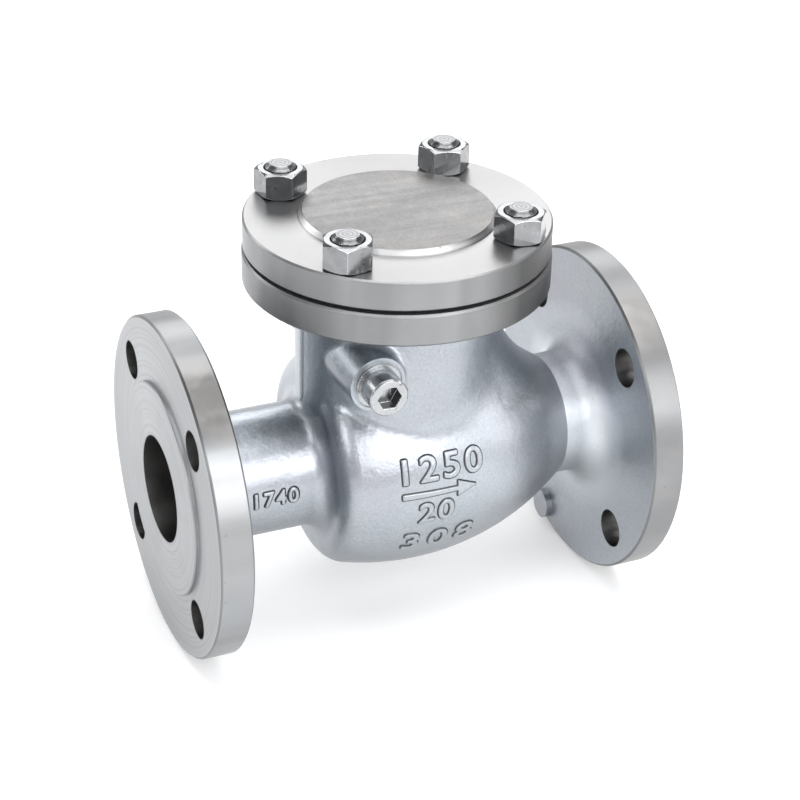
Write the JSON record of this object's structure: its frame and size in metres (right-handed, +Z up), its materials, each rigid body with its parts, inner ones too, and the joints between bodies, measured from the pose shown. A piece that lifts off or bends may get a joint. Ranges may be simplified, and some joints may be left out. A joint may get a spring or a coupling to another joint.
{
  "type": "swing check valve",
  "caption": "Flanged swing check valve: cast body with round bolted cover, hinge pin behind a socket head plug, and a swinging disc that closes on a seat ring.",
  "frame": {"origin": "centre of the inlet flange's raised face", "axes": "+X along the flow axis, from inlet to outlet; +Z up through the cover; the hinge plug is on the -Y side"},
  "size_m": [0.23, 0.16, 0.2134],
  "materials": {
    "cast_stainless": "shot blasted casting with turned flange faces and rims",
    "turned_stainless": "turned",
    "fastener_steel": "bright",
    "inner_stainless": "machined",
    "gasket_sheet": "matt"
  },
  "bodies": {
    "valve": {"valve_body": "cast_stainless", "seat_ring": "inner_stainless", "cover": "turned_stainless", "cover_gasket": "gasket_sheet", "stud_1": "fastener_steel", "stud_2": "fastener_steel", "stud_3": "fastener_steel", "stud_4": "fastener_steel", "stud_nut_1": "fastener_steel", "stud_nut_2": "fastener_steel", "stud_nut_3": "fastener_steel", "stud_nut_4": "fastener_steel", "hinge_pin": "inner_stainless", "hinge_plug": "fastener_steel", "plug_washer": "fastener_steel"},
    "arm": {"swing_arm": "inner_stainless"},
    "flap": {"disc": "inner_stainless", "disc_washer": "inner_stainless", "disc_nut": "inner_stainless", "split_pin": "inner_stainless"}
  },
  "joints": [
    {"name": "arm_swing", "type": "hinge", "parent": "valve", "child": "arm", "pos_m": [0.086, 0, 0.063], "axis": [0, -1, 0], "range_deg": [0, 50]},
    {"name": "disc_spin", "type": "hinge", "parent": "arm", "child": "flap", "pos_m": [0.09, 0, 0], "axis": [1, 0, 0], "continuous": true}
  ]
}
